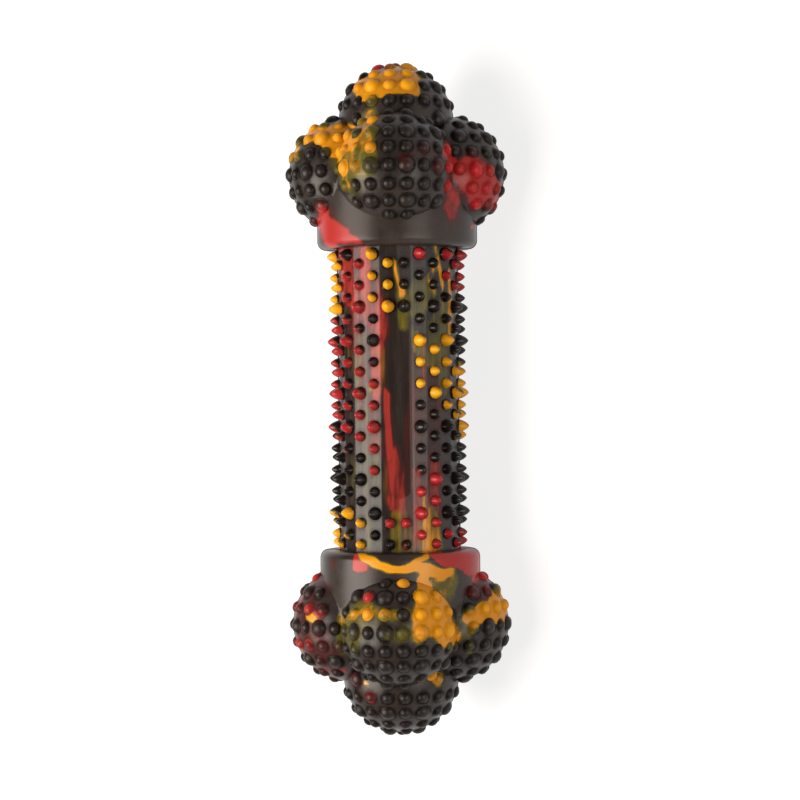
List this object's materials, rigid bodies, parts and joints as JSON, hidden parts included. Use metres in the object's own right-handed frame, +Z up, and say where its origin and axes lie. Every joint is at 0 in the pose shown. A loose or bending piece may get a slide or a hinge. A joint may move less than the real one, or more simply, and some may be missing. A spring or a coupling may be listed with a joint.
{
  "type": "dog chew toy",
  "caption": "Bone-shaped dog chew: a spiked rubber sleeve on a nylon core, with a cluster of nubbed rubber knuckles on a smooth collar at each end.",
  "frame": {"origin": "on the surface that the toy lies on, under the middle of its length", "axes": "+X along the toy towards its upper knuckle end, +Z up; the bare panel of the sleeve faces half way between -Y and +Z, and the toy rests on two knuckles of each end"},
  "size_m": [0.1904, 0.055, 0.0549],
  "materials": {
    "core_nylon": "moulded nylon, natural colour",
    "sleeve_rubber": "moulded rubber, marbled charcoal, red and orange-yellow in streaks along the shaft, slightly glossy",
    "end_rubber": "moulded rubber, marbled charcoal with patches of red and orange-yellow, satin"
  },
  "bodies": {
    "root": {"nylon_core": "core_nylon", "spiked_sleeve": "sleeve_rubber", "upper_knuckle_end": "end_rubber", "lower_knuckle_end": "end_rubber"}
  },
  "joints": []
}
